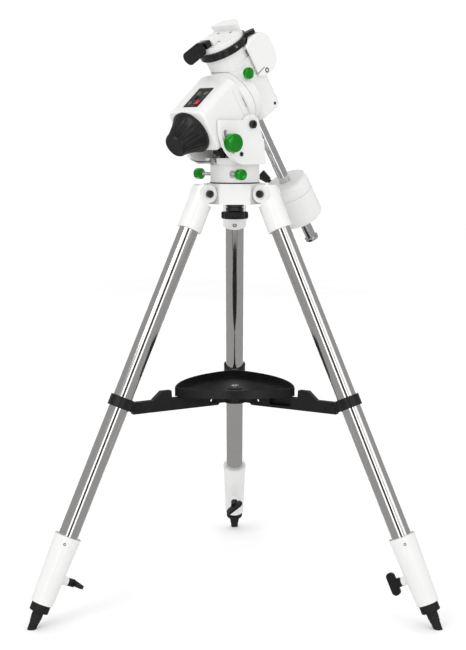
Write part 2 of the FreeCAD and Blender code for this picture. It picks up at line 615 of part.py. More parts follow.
def bearing(low, high, bore, outer, axis):
    """Ball bearing drawn as its two races with the ball cage between them."""
    step = (outer - bore) / 3
    inner_race = ring(bore + step, bore, low, high, axis)
    outer_race = ring(outer, outer - step, low, high, axis)
    cage = ring(outer - step, bore + step, low + 2, high - 2, axis)
    return fuse(inner_race, cage, outer_race)


def polar_bearings():
    rings = [bearing(-165.0, -151.0, SHAFT_R + RUN_CLEAR, BEARING_R, X),
             bearing(-75.0, -61.0, SHAFT_R + RUN_CLEAR, BEARING_R, X)]
    return move(group(*rings), POLAR)


def toothed_wheel(outer, bore, low, high, axis):
    """Worm wheel with fine straight teeth."""
    teeth = round(2 * math.pi * outer / TOOTH_PITCH)
    depth = 1.0
    points = []
    for i in range(2 * teeth):
        radius = outer if i % 2 else outer - depth
        points.append(Rotation(axis, 180.0 * i / teeth).multVec(Y * radius) + axis * low)
    face = Part.Face(Part.makePolygon(points + points[:1]))
    wheel = face.extrude(axis * (high - low))
    return wheel.cut(cyl(bore, low - 1, high + 1, axis))


def worm(centre):
    """Worm with its end journals and drive gear, along the tangent of the wheel."""
    points = [(-26.0, 0), (-26.0, 3.5), (-18.0, 3.5)]
    turns = 21
    for i in range(turns):
        start = -18.0 + i * TOOTH_PITCH
        points += [(start + 0.2, WORM_R - 1.2), (start + 0.8, WORM_R), (start + 1.2, WORM_R)]
    points += [(17.4, 3.5), (22.0, 3.5), (22.0, 10.0), (27.0, 10.0), (27.0, 0)]
    shape = lathe(points, Y)
    shape.translate(centre)
    return shape


def motor(centre, low, high):
    """Stepper motor can with its pinion."""
    can = cyl(14.0, low, high, Y, centre)
    shaft = cyl(2.5, high, high + 8, Y, centre)
    pinion = cyl(11.0, high + 2.0, high + 7, Y, centre)
    return fuse(can, shaft, pinion)


def polar_worm_wheel():
    return move(toothed_wheel(RA_WHEEL_R, SHAFT_R, RA_WHEEL_X, RA_WHEEL_X + 12, X), POLAR)


def polar_worm():
    centre = Vector(RA_WHEEL_X + 6, 0, RA_WHEEL_R + WORM_R + WORM_GAP)
    return move(worm(centre), POLAR)


def polar_motor():
    height = RA_WHEEL_R + WORM_R + WORM_GAP - MOTOR_DROP
    return move(motor(Vector(RA_WHEEL_X - 14.6, 0, height), -20.0, 20.0), POLAR)


# ================================================================ declination unit
def dec_body(inset):
    """Outer form of the declination housing, shrunk by inset."""
    block = box((-30.0 + inset, 50.0 - inset), (-52.0 + inset, 52.0 - inset), (DEC_BOTTOM + inset, 72.0))
    block = block.makeFillet(22.0 - inset / 2, edges_along(block, Z))
    foot = [edge for edge in block.Edges if edge.BoundBox.ZMax < DEC_BOTTOM + inset + 0.1]
    block = block.makeFillet(12.0 - inset, foot)
    neck = cyl(DEC_NECK_R - inset, 40.0, DEC_NECK_TOP - inset)
    mouth = cyl(NECK_R - inset, GAP_X + 0.5 + inset, -18.0, X)
    return block.fuse(neck).fuse(mouth)


def dec_housing():
    """Hollow casting over the polar shaft, with a spigot for the clutch ring."""
    body = dec_body(0).cut(cyl(NECK_R + 1.5, -90.0, GAP_X + 0.5, X))
    body = body.cut(dec_body(6.0).common(box((-22.0, FAR), (-FAR, FAR), (-58.0, FAR))))
    core = [cyl(31.0, -46.0, -24.0), cyl(31.0, 76.0, DEC_NECK_TOP - 1), cyl(20.0, DEC_BOTTOM + 1, -44.0)]
    body = fuse(body, *core, cyl(SPIGOT_R, DEC_NECK_TOP - 2, RING_TOP - 0.5))
    knob_at = Vector(CLUTCH_KNOB_X, 0, CLUTCH_KNOB_Z)
    body = fuse(body, cyl(9.0, -50.0, -40.0, Y, knob_at), cyl(9.5, -60.0, -50.0, Y, knob_at))
    body = body.cut(cyl(4.0 + RUN_CLEAR, -80.0, -38.0, Y, knob_at))
    body = body.cut(cyl(DEC_WHEEL_R + 2, DEC_WHEEL_Z - 3, DEC_WHEEL_Z + 15))
    body = body.cut(cyl(26.0, -42.0, -27.0)).cut(cyl(26.0, 81.0, 96.0))
    body = body.cut(cyl(DEC_SHAFT_R + 2, -43.0, FAR)).cut(cyl(10.0, -FAR, -46.0))
    body = body.cut(cyl(SHAFT_R, -60.0, -30.0, X))
    window = box((30.0, 60.0), (-32.0, 32.0), (32.0, 60.0))
    return move(body.cut(window).removeSplitter(), POLAR)


def cover_form(inset):
    """Rounded drum over the declination drive, shrunk by inset."""
    form = box((1.0 + inset, 86.0 - inset), (-60.0 + inset, 60.0 - inset), (11.0 + inset, 106.0 - inset))
    form = form.makeFillet(37.0 - inset, edges_along(form, Y))
    if not inset:
        rims = [edge for edge in form.Edges if abs(edge.BoundBox.YMax - edge.BoundBox.YMin) < 0.1]
        form = form.makeFillet(5.0, rims)
    return form


def dec_cover():
    """Cover of the declination motor and worm, seated on the housing."""
    outside = cover_form(0).cut(box((-FAR, 12.0), (-FAR, FAR), (-FAR, FAR)))
    outside = outside.cut(cyl(RING_R + 3, DEC_NECK_TOP - 0.5, FAR))
    inside = cover_form(4.0).cut(cyl(RING_R + 7, DEC_NECK_TOP - 4.5, FAR))
    shell = outside.cut(inside).cut(dec_body(0))
    return move(max(shell.Solids, key=lambda solid: solid.Volume), POLAR)


def dec_shaft():
    """Hollow declination shaft up to the saddle's underside."""
    return move(ring(DEC_SHAFT_R, 8.0, -41.0, PUCK_BOTTOM), POLAR)


def dec_bearings():
    rings = [bearing(-41.0, -28.0, DEC_SHAFT_R + RUN_CLEAR, 26.0, Z),
             bearing(82.0, 95.0, DEC_SHAFT_R + RUN_CLEAR, 26.0, Z)]
    return move(group(*rings), POLAR)


def dec_worm_wheel():
    return move(toothed_wheel(DEC_WHEEL_R, DEC_SHAFT_R, DEC_WHEEL_Z, DEC_WHEEL_Z + 12, Z), POLAR)


def dec_worm():
    centre = Vector(DEC_WHEEL_R + WORM_R + WORM_GAP, 0, DEC_WHEEL_Z + 6)
    return move(worm(centre), POLAR)


def dec_motor():
    beside = DEC_WHEEL_R + WORM_R + WORM_GAP + 22.0
    return move(motor(Vector(beside, 0, DEC_WHEEL_Z + 8), -20.0, 20.0), POLAR)


def dec_clutch_ring():
    """Ring with a rounded lever."""
    body = ring(RING_R, SPIGOT_R + RUN_CLEAR, RING_BOTTOM, RING_TOP)
    lever = box((50.0, 72.0), (-6.5, 6.5), (108.0, RING_TOP))
    end = cyl(6.5, 108.0, RING_TOP, Z, Vector(72.0, 0, 0))
    lever = fuse(lever, end).cut(cyl(SPIGOT_R + 5, 0, FAR))
    lever.rotate(Vector(), Z, -45.0)
    return move(fuse(body, lever), POLAR)


def dec_clutch_knob():
    """Anodised clutch knob on the near side."""
    knob = lathe([(-74.0, 0), (-74.0, 10.5), (-72.0, 13.0), (-64.5, 13.0), (-62.5, 10.0),
                  (-60.4, 10.0), (-60.4, 0)], Y)
    shape = fuse(knob, cyl(4.0, -61.0, -39.0, Y))
    shape.translate(Vector(CLUTCH_KNOB_X, 0, CLUTCH_KNOB_Z))
    return move(shape, POLAR)


def counterweight_bar():
    """Steel bar screwed into the housing, with its lock ring and safety disc."""
    bar = fuse(cyl(BAR_R, BAR_END, DEC_BOTTOM), cyl(10.0, DEC_BOTTOM, -50.0))
    lock_ring = ring(18.0, BAR_R, DEC_BOTTOM - 8, DEC_BOTTOM)
    safety = cyl(16.5, BAR_END - 6, BAR_END)
    return move(group(bar, lock_ring, safety), POLAR)


def weight_knob_axis():
    """Slanting axis of the counterweight's lock knob and where it meets the bar's axis."""
    return Vector(0, 1, 1).normalize(), Vector(0, 0, -308.0)


def counterweight():
    body = cyl(WEIGHT_R, WEIGHT_END, WEIGHT_TOP)
    rims = [edge for edge in body.Edges if isinstance(edge.Curve, Part.Circle)]
    body = body.makeFillet(11.0, rims)
    body = fuse(body, cyl(22.0, WEIGHT_END - 3, WEIGHT_END + 1))
    body = body.cut(ring(WEIGHT_R + 1, WEIGHT_R - 0.8, -283.0, -282.0))
    axis, at = weight_knob_axis()
    body = body.cut(cyl(5.0 + RUN_CLEAR, 0, 200.0, axis, at)).cut(cyl(BAR_R + RUN_CLEAR, -FAR, 0))
    return move(body, POLAR)


def counterweight_knob():
    """Lock screw and tapered knob."""
    axis, at = weight_knob_axis()
    screw = cyl(5.0, 24.0, 84.0, axis, at)
    grip = cone(8.0, 12.5, 80.0, 104.0, axis, at)
    return move(fuse(screw, grip), POLAR)


# ================================================================ saddle
def saddle():
    """Round base with four holes, a fixed dovetail jaw and the block that carries the clamp screw."""
    puck = cyl(PUCK_R, PUCK_BOTTOM, PUCK_TOP)
    jaw = profile([(28.0, PUCK_TOP - 1), (24.0, JAW_TOP), (60.0, JAW_TOP), (60.0, PUCK_TOP - 1)],
                  -45.0, 41.0)
    jaw = jaw.common(cyl(PUCK_R, PUCK_TOP - 2, JAW_TOP))
    block = box((-52.0, -38.0), (-15.0, 15.0), (PUCK_TOP - 1, 145.0))
    block = block.makeFillet(5.0, edges_along(block, X, lambda m: m.z > 140))
    body = fuse(puck, jaw, block)
    for x in (-SADDLE_HOLE, SADDLE_HOLE):
        for y in (-SADDLE_HOLE, SADDLE_HOLE):
            body = body.cut(cyl(SADDLE_HOLE_R, 0, FAR, Z, Vector(x, y, 0)))
    body = body.cut(cyl(4.0 + RUN_CLEAR, -70.0, -30.0, X, Vector(0, 0, CLAMP_Z)))
    return move(body, POLAR)


def saddle_jaw():
    """Movable jaw, pulled along by the clamp screw."""
    outline = [(-37.5, PUCK_TOP + 0.3), (-37.5, 142.0), (-22.5, 142.0), (-25.5, PUCK_TOP + 0.3)]
    jaw = profile(outline, -20.0, 20.0)
    return move(jaw.cut(cyl(4.0 + RUN_CLEAR, -40.0, -26.0, X, Vector(0, 0, CLAMP_Z))), POLAR)


def saddle_knob():
    """Clamp screw with its ridged knob."""
    at = Vector(0, 0, CLAMP_Z)
    screw = cyl(4.0, -64.0, -27.0, X, at)
    neck = cyl(9.0, -60.0, -PUCK_R - GAP, X, at)
    points = []
    ridges = 36
    for i in range(2 * ridges):
        radius = 15.5 if i % 2 else 14.7
        points.append(at + X * -101.0 + Rotation(X, 180.0 * i / ridges).multVec(Z * radius))
    grip = Part.Face(Part.makePolygon(points + points[:1])).extrude(X * 42.0)
    return move(fuse(screw, neck, grip), POLAR)


# ================================================================ assembly
def main():
    os.makedirs("parts", exist_ok=True)
    save("tripod_head", tripod_head())
    save("azimuth_washer", azimuth_washer())
    save("leg_pivot_bolts", leg_pivot_bolts())
    save("centre_lock_knob", centre_lock_knob())
    castings, tube, band = leg_castings(), leg_tube(), leg_band()
    inner_tube, foot, arm = leg_inner_tube(), leg_foot(), spreader_arm()
    for number, azimuth in enumerate(LEG_AZIMUTHS, 1):
        line = leg_line(azimuth)
        save(f"leg_{number}_castings", move(castings, line))
        save(f"leg_{number}_tube", move(tube, line))
        save(f"leg_{number}_band", move(band, line))
        save(f"leg_{number}_inner_tube", move(inner_tube, line))
        save(f"leg_{number}_foot", move(foot, line))
        save(f"leg_{number}_clamp_knob", move(leg_clamp_knob(CLAMP_ANGLES[number - 1]), line))
        save(f"spreader_arm_{number}", move(arm, leg_plane(azimuth)))
    for make in (spreader_hub, tray, tray_screw, azimuth_base, fork, altitude_pivot_bolts,
                 altitude_lock_knob, altitude_bolt_front, altitude_bolt_rear, polar_housing,
                 control_panel, power_switch, polar_cap, polar_shaft, polar_bearings,
                 polar_worm_wheel, polar_worm, polar_motor, dec_housing, dec_cover, dec_shaft,
                 dec_bearings, dec_worm_wheel, dec_worm, dec_motor, dec_clutch_ring,
                 dec_clutch_knob, counterweight_bar, counterweight, counterweight_knob, saddle,
                 saddle_jaw, saddle_knob):
        save(make.__name__, make())
    for place, sign in (("front", 1), ("rear", -1)):
        save(f"azimuth_bolt_{place}", azimuth_bolt(sign))


main()
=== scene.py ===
import json
import math

import bmesh
import bpy
from mathutils import Matrix, Vector


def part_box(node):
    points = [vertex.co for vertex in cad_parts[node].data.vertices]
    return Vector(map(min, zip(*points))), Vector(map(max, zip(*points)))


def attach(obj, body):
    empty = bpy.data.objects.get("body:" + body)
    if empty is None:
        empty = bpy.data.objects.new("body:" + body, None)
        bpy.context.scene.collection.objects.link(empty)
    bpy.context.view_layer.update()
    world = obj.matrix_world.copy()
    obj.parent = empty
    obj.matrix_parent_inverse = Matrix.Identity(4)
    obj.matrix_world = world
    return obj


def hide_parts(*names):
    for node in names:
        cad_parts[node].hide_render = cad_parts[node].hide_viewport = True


# Looks of the equatorial mount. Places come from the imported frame, its joints and its nodes, and the small
# sizes below are the same as the design's. Sizes are in millimetres until meshes are made, in metres.

MM = 0.001
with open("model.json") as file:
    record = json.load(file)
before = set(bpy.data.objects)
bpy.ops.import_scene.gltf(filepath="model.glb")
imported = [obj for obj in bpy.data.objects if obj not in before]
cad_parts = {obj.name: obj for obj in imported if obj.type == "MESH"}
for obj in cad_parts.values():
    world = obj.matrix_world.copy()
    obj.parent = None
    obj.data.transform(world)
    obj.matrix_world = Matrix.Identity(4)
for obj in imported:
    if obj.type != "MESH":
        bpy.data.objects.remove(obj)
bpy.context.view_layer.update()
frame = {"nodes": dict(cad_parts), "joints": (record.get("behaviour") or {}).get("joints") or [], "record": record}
NODES = frame["nodes"]
JOINTS = {joint["name"]: joint for joint in frame["joints"]}
LEGS = (1, 2, 3)

HOUSING_SIDE = -62.0            # near side of the polar housing, along y of the polar frame
JOINT_PLANE = -40.0             # where the two units meet, along x of the polar frame
EAR_FACE = -75.0                # outer face of the near fork ear, along y of the head frame
SADDLE_FLOOR = 130.0            # saddle's floor, along z of the polar frame
UPPER_CASTING_R = 28.0          # leg castings, where their set screws sit
LOWER_CASTING_R = 29.4
PANEL_TOP = 0.9                 # panel's face, above the middle of its plate
PANEL_TILT = (-0.1367, 0, 0.9906)   # panel's outward direction in the polar frame


# ================================================================ frames
def axes_matrix(origin, z, x_hint):
    """Matrix with local z along z and local x as near x_hint as it can be."""
    z = Vector(z).normalized()
    x = Vector(x_hint)
    x = (x - z * x.dot(z)).normalized()
    y = z.cross(x)
    matrix = Matrix((x, y, z)).transposed().to_4x4()
    matrix.translation = Vector(origin)
    return matrix


def joint_axis(name):
    return Vector(JOINTS[name]["axis"])


def joint_frame(name, x_hint=(0, 0, 1)):
    """Frame of a hinge, z along its axis."""
    return axes_matrix(JOINTS[name]["pos_m"], joint_axis(name), x_hint)


def ends_along(node, matrix):
    """Low and high end of a node along the frame's z, in mm."""
    inverse = matrix.inverted()
    along = [(inverse @ vertex.co).z for vertex in NODES[node].data.vertices]
    return min(along) / MM, max(along) / MM


def slide_frame(node, axis):
    """Frame on the middle line of a node that is round about axis, with its low and high ends in mm."""
    low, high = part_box(node)
    matrix = axes_matrix((low + high) / 2, axis, (0, 0, 1))
    return (matrix, *ends_along(node, matrix))


def shifted(matrix, x=0.0, y=0.0, z=0.0):
    """The frame moved by millimetres along its own axes."""
    return matrix @ Matrix.Translation(Vector((x, y, z)) * MM)


def turned(matrix, degrees, axis="Z"):
    return matrix @ Matrix.Rotation(math.radians(degrees), 4, axis)


AZIMUTH_AXIS = Vector(JOINTS["azimuth_turn"]["pos_m"])
POLAR = axes_matrix(JOINTS["ra_turn"]["pos_m"], joint_axis("dec_turn"), joint_axis("ra_turn"))
ALONG_POLAR = axes_matrix(POLAR.translation, joint_axis("ra_turn"), joint_axis("dec_turn"))
HEAD = axes_matrix((AZIMUTH_AXIS.x, AZIMUTH_AXIS.y, 0), (0, 0, 1), POLAR.to_3x3() @ Vector((1, 0, 0)))
PANEL = axes_matrix((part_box("control_panel")[0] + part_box("control_panel")[1]) / 2,
                    POLAR.to_3x3() @ Vector(PANEL_TILT), joint_axis("ra_turn"))


# ================================================================ materials
def node_tree(name):
    """New material with its node tree and its shader."""
    material = bpy.data.materials.new(name)
    material.use_nodes = True
    tree = material.node_tree
    return material, tree, tree.nodes["Principled BSDF"]


def noise(tree, scale, detail=4.0, stretch=None):
    """Noise in object space; stretch squeezes it along the axes for a brushed grain."""
    coords = tree.nodes.new("ShaderNodeTexCoord")
    pattern = tree.nodes.new("ShaderNodeTexNoise")
    pattern.inputs["Scale"].default_value = scale
    pattern.inputs["Detail"].default_value = detail
    if stretch is None:
        tree.links.new(coords.outputs["Object"], pattern.inputs["Vector"])
    else:
        mapping = tree.nodes.new("ShaderNodeMapping")
        mapping.inputs["Scale"].default_value = stretch
        tree.links.new(coords.outputs["Object"], mapping.inputs["Vector"])
        tree.links.new(mapping.outputs["Vector"], pattern.inputs["Vector"])
    return pattern


def ramp(tree, source, low, high, start=0.3, end=0.7):
    """Colour ramp from low to high over the source's value."""
    made = tree.nodes.new("ShaderNodeValToRGB")
    made.color_ramp.elements[0].position = start
    made.color_ramp.elements[1].position = end
    made.color_ramp.elements[0].color = (*low, 1)
    made.color_ramp.elements[1].color = (*high, 1)
    tree.links.new(source, made.inputs["Fac"])
    return made.outputs["Color"]


def edge_highlight_mask(tree, radius):
    """Mask of the painted edge highlight, bright where the surface turns within radius, and the rounded normal
    itself.
    """
    bevel = tree.nodes.new("ShaderNodeBevel")
    bevel.samples = 6
    bevel.inputs["Radius"].default_value = radius * MM
    geometry = tree.nodes.new("ShaderNodeNewGeometry")
    dot = tree.nodes.new("ShaderNodeVectorMath")
    dot.operation = "DOT_PRODUCT"
    tree.links.new(bevel.outputs["Normal"], dot.inputs[0])
    tree.links.new(geometry.outputs["Normal"], dot.inputs[1])
    edge = tree.nodes.new("ShaderNodeMapRange")
    edge.inputs["From Min"].default_value = 0.99
    edge.inputs["From Max"].default_value = 0.80
    tree.links.new(dot.outputs["Value"], edge.inputs["Value"])
    return edge.outputs["Result"], bevel.outputs["Normal"]


def mix(tree, factor, first, second):
    """First, a node's output, turning into the colour second as factor grows."""
    blend = tree.nodes.new("ShaderNodeMix")
    blend.data_type = "RGBA"
    tree.links.new(factor, blend.inputs["Factor"])
    tree.links.new(first, blend.inputs["A"])
    blend.inputs["B"].default_value = (*second, 1)
    return blend.outputs["Result"]


def finish_material(name, colour, spread, rough, metallic=0.0, grain=900.0, bump=0.02, coat=0.0,
                    edge=None, radius=0.6, stretch=None, specular=0.5):
    """Surface with uneven colour and roughness, fine bump and rounded edges; a given edge colour, lighter than the
    base, is a painted highlight along the turned edges.
    """
    material, tree, shader = node_tree(name)
    shader.inputs["Metallic"].default_value = metallic
    shader.inputs["Coat Weight"].default_value = coat
    shader.inputs["Coat Roughness"].default_value = 0.08
    shader.inputs["Specular IOR Level"].default_value = specular
    broad = noise(tree, 35.0, 3.0, stretch)
    fine = noise(tree, grain, 6.0, stretch)
    dark = tuple(max(0.0, c - spread) for c in colour)
    light = tuple(min(1.0, c + spread) for c in colour)
    base = ramp(tree, broad.outputs["Fac"], dark, light)
    highlight_mask, rounded = edge_highlight_mask(tree, radius)
    # Painted highlight: the lighter edge colour is mixed in where the surface turns.
    if edge is not None:
        base = mix(tree, highlight_mask, base, edge)
    tree.links.new(base, shader.inputs["Base Color"])
    shine = ramp(tree, fine.outputs["Fac"], (rough[0],) * 3, (rough[1],) * 3)
    tree.links.new(shine, shader.inputs["Roughness"])
    bumps = tree.nodes.new("ShaderNodeBump")
    bumps.inputs["Strength"].default_value = bump
    bumps.inputs["Distance"].default_value = 0.0004
    tree.links.new(fine.outputs["Fac"], bumps.inputs["Height"])
    tree.links.new(rounded, bumps.inputs["Normal"])
    tree.links.new(bumps.outputs["Normal"], shader.inputs["Normal"])
    return material


# The edge colours below are painted highlights along turned edges, lighter than each base colour.
WHITE = finish_material("white_paint", (0.76, 0.76, 0.75), 0.006, (0.26, 0.36), grain=1400.0, bump=0.05,
                        coat=0.35, edge=(0.86, 0.86, 0.85), radius=1.0)
WHITE_PLASTIC = finish_material("white_plastic", (0.77, 0.77, 0.76), 0.005, (0.22, 0.32), grain=2500.0,
                                bump=0.03, coat=0.4, edge=(0.86, 0.86, 0.85), radius=1.0)
BLACK = finish_material("black_plastic", (0.007, 0.007, 0.008), 0.002, (0.30, 0.46), grain=2200.0, bump=0.12,
                        edge=(0.030, 0.030, 0.032), radius=0.8, specular=0.32)
BLACK_PAINT = finish_material("black_paint", (0.007, 0.007, 0.008), 0.002, (0.20, 0.32), grain=1600.0,
                              bump=0.08, coat=0.1, edge=(0.05, 0.05, 0.052), radius=0.8, specular=0.35)
TUBE = finish_material("polished_tube", (0.66, 0.65, 0.64), 0.02, (0.10, 0.17), metallic=1.0, grain=500.0,
                       bump=0.012, stretch=(6.0, 6.0, 0.25), radius=0.5)
STEEL = finish_material("machined_steel", (0.56, 0.56, 0.56), 0.03, (0.20, 0.32), metallic=1.0, grain=900.0,
                        bump=0.05, edge=(0.75, 0.75, 0.75), radius=0.4)
CHROME = finish_material("chrome", (0.66, 0.66, 0.67), 0.02, (0.07, 0.13), metallic=1.0, grain=700.0,
                         bump=0.012, edge=(0.85, 0.85, 0.86), radius=0.5)
GREEN = finish_material("green_anodised", (0.008, 0.33, 0.016), 0.010, (0.14, 0.22), metallic=0.75,
                        grain=1800.0, bump=0.05, edge=(0.10, 0.66, 0.12), radius=0.6, coat=0.3)
RUBBER = finish_material("rubber", (0.009, 0.009, 0.009), 0.003, (0.50, 0.70), grain=1300.0, bump=0.25,
                         edge=(0.035, 0.035, 0.035), radius=0.7, specular=0.35)
DARK_STEEL = finish_material("dark_steel", (0.05, 0.05, 0.052), 0.01, (0.28, 0.40), metallic=0.8,
                             grain=900.0, bump=0.06, edge=(0.30, 0.30, 0.31), radius=0.4)
BRASS = finish_material("brass", (0.60, 0.43, 0.16), 0.03, (0.22, 0.34), metallic=1.0, grain=800.0,
                        bump=0.05, edge=(0.80, 0.62, 0.30), radius=0.3)
RED = finish_material("red_plastic", (0.50, 0.012, 0.016), 0.01, (0.28, 0.36), grain=2500.0, bump=0.03,
                      edge=(0.62, 0.05, 0.05), radius=0.3)
DARK_GREEN = finish_material("dark_green_ring", (0.012, 0.045, 0.014), 0.004, (0.35, 0.45), grain=2500.0,
                             bump=0.02)
GREY = finish_material("grey_print", (0.42, 0.42, 0.42), 0.02, (0.40, 0.50), grain=2500.0, bump=0.02)
# Painted shade: a dark grey for narrow gaps and pockets, namely the housing's seam line, the pointer slot and the
# panel sockets.
SEAM_SHADE = finish_material("seam_shadow", (0.10, 0.10, 0.10), 0.01, (0.50, 0.60), grain=2500.0, bump=0.02)

BY_SLOT = {"white_paint": WHITE, "white_plastic": WHITE_PLASTIC, "black_plastic": BLACK,
           "black_paint": BLACK_PAINT, "stainless": TUBE, "chrome": CHROME, "green_anodised": GREEN,
           "rubber": RUBBER, "dark_steel": DARK_STEEL, "grey_steel": STEEL, "brass": BRASS,
           "red_plastic": RED, "white_iron": WHITE}
SLOT_OF = {part["node"]: part["material_slot"] for part in frame["record"]["subparts"]}
BODY_OF = {node: body for body, members in frame["record"]["behaviour"]["bodies"].items()
           for node in members}


def dress_cad_nodes():
    """Slot materials on the CAD nodes, welded and smoothed for shading only."""
    for name, node in NODES.items():
        node.data.materials.clear()
        node.data.materials.append(BY_SLOT[SLOT_OF[name]])
        node.data.shade_smooth()
        weld = node.modifiers.new("weld", "WELD")
        weld.merge_threshold = 0.00001
        split = node.modifiers.new("split", "EDGE_SPLIT")
        split.split_angle = math.radians(30)
        flat = node.modifiers.new("flat", "WEIGHTED_NORMAL")
        flat.keep_sharp = True


def smooth_by_angle(mesh, degrees=32.0):
    mesh.shade_smooth()
    mesh.set_sharp_from_angle(angle=math.radians(degrees))


# ================================================================ mesh helpers
def piece(name, mesh, material, body, replaced=()):
    """Mesh object that rides on a CAD body."""
    obj = bpy.data.objects.new(name, mesh)
    bpy.context.scene.collection.objects.link(obj)
    obj.data.materials.append(material)
    smooth_by_angle(mesh)
    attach(obj, body)
    if replaced:
        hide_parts(*replaced)
    return obj


def mesh_from(name, vertices, faces, matrix):
    mesh = bpy.data.meshes.new(name)
    mesh.from_pydata([matrix @ (Vector(v) * MM) for v in vertices], [], faces)
    clean = bmesh.new()
    clean.from_mesh(mesh)
    bmesh.ops.remove_doubles(clean, verts=clean.verts, dist=0.000002)
    bmesh.ops.recalc_face_normals(clean, faces=clean.faces)
    clean.to_mesh(mesh)
    clean.free()
    return mesh


def turned_mesh(name, outline, matrix, segments=64, flutes=0, depth=0.0, fluted=()):
    """Surface turned about z from (radius, z) points; fluted names the points whose rim is fluted."""
    steps = max(segments, flutes * 6)
    vertices, faces = [], []
    for i in range(steps):
        angle = 2 * math.pi * i / steps
        wave = depth * (0.5 - 0.5 * math.cos(flutes * angle)) if flutes else 0.0
        for k, (radius, z) in enumerate(outline):
            r = radius - wave if k in fluted else radius
            vertices.append((r * math.cos(angle), r * math.sin(angle), z))
    count = len(outline)
    for i in range(steps):
        j = (i + 1) % steps
        for k in range(count - 1):
            faces.append((i * count + k, j * count + k, j * count + k + 1, i * count + k + 1))
    return mesh_from(name, vertices, faces, matrix)


def rounded_block(name, size, matrix, radius=0.8, segments=3):
    """Box of a size in mm, centred on the frame, with rounded edges."""
    made = bmesh.new()
    bmesh.ops.create_cube(made, size=1.0)
    bmesh.ops.scale(made, vec=Vector(size) * MM, verts=made.verts)
    bmesh.ops.bevel(made, geom=made.edges[:], offset=radius * MM, segments=segments, profile=0.5,
                    affect="EDGES")
    bmesh.ops.transform(made, matrix=matrix, verts=made.verts)
    mesh = bpy.data.meshes.new(name)
    made.to_mesh(mesh)
    made.free()
    return mesh


def joined(name, meshes):
    """One mesh from several."""
    whole = bmesh.new()
    for mesh in meshes:
        whole.from_mesh(mesh)
    result = bpy.data.meshes.new(name)
    whole.to_mesh(result)
    whole.free()
    return result


def threaded_outline(radius, low, high, pitch=1.25, depth=0.5):
    """Outline of a rod whose side is cut by fine ring grooves, like a screw thread."""
    outline = [(0.0, low), (radius - depth, low)]
    z = low
    while z + pitch < high:
        outline += [(radius - depth, z + 0.1 * pitch), (radius, z + 0.4 * pitch),
                    (radius, z + 0.6 * pitch), (radius - depth, z + 0.9 * pitch)]
        z += pitch
    return outline + [(radius - depth, high), (0.0, high)]


def green_knob(name, matrix, radius, low, high, body, replaced=(), flutes=20):
    """Anodised knob with a fluted rim, chamfers and a dished face with a ring groove."""
    rim = 0.16 * radius
    outline = [(0.0, low), (radius * 0.62, low), (radius * 0.66, low + 0.5), (radius - rim, low + 0.8),
               (radius, low + rim * 0.8), (radius, high - rim * 0.9), (radius - 0.4 * rim, high - 0.3 * rim),
               (radius - rim, high), (radius * 0.80, high), (radius * 0.76, high - 0.7),
               (radius * 0.70, high - 0.7), (radius * 0.66, high - 0.2), (radius * 0.30, high - 0.6),
               (0.0, high - 0.8)]
    mesh = turned_mesh(name, outline, matrix, flutes=flutes, depth=0.028 * radius, fluted=(4, 5))
    return piece(name, mesh, GREEN, body, replaced)


# ================================================================ detailed pieces
def azimuth_bolts():
    """Threaded bolt with a green knob at each azimuth adjuster."""
    for place in ("front", "rear"):
        node = f"azimuth_bolt_{place}"
        matrix, low, high = slide_frame(node, joint_axis(f"{node}_run"))
        knob_low = high - 17.5
        green_knob(f"{node}_knob", matrix, 12.4, knob_low, high - 0.1, node, (node,), 16)
        stem = threaded_outline(4.0, low + 0.2, knob_low + 2)
        thread = turned_mesh(f"{node}_thread", stem, matrix, 48)
        piece(f"{node}_thread", thread, CHROME, node)
        collar = [(4.1, knob_low - 3.0), (6.5, knob_low - 2.6), (7.2, knob_low - 0.3), (7.2, knob_low + 1)]
        ring = turned_mesh(f"{node}_collar", collar, matrix, 48)
        piece(f"{node}_collar", ring, GREEN, node)


def altitude_rear_bolt():
    """Threaded bolt with a cone tip and a green knob, behind the fork."""
    node = "altitude_bolt_rear"
    matrix, low, high = slide_frame(node, joint_axis("altitude_bolt_rear_run"))
    green_knob("altitude_knob_rear", matrix, 19.9, high - 16.8, high - 0.1, node, (node,), 20)
    tip = low + 0.1
    outline = [(0.0, tip), (1.8, tip), (4.6, tip + 4.6)] + threaded_outline(5.0, tip + 5, high - 14, 1.5)[1:]
    piece("altitude_bolt_rear_thread", turned_mesh("altitude_bolt_rear_thread", outline, matrix, 48), CHROME,
          node)


def altitude_lock():
    """Large green lock knob with its collar and screw."""
    matrix = joint_frame("altitude_lock_turn")
    low, high = ends_along("altitude_lock_knob", matrix)
    green_knob("altitude_lock_knob_turned", matrix, 20.4, high - 21.9, high - 0.1, "altitude_lock",
               ("altitude_lock_knob",), 22)
    outline = [(4.0, low), (4.0, high - 27.0), (9.8, high - 26.4), (9.8, high - 23.0), (11.5, high - 21.5)]
    piece("altitude_lock_collar", turned_mesh("altitude_lock_collar", outline, matrix, 48), STEEL,
          "altitude_lock")


def clutch_knob():
    """Green knob of the declination clutch, with its collar."""
    matrix = joint_frame("dec_clutch_knob_turn")
    low, high = ends_along("dec_clutch_knob", matrix)
    green_knob("dec_clutch_knob_turned", matrix, 12.9, high - 11.0, high - 0.1, "dec_clutch_knob",
               ("dec_clutch_knob",), 18)
    outline = [(3.9, low), (3.9, high - 14.0), (9.7, high - 13.4), (9.7, high - 10.5)]
    piece("dec_clutch_collar", turned_mesh("dec_clutch_collar", outline, matrix, 48), STEEL,
          "dec_clutch_knob")


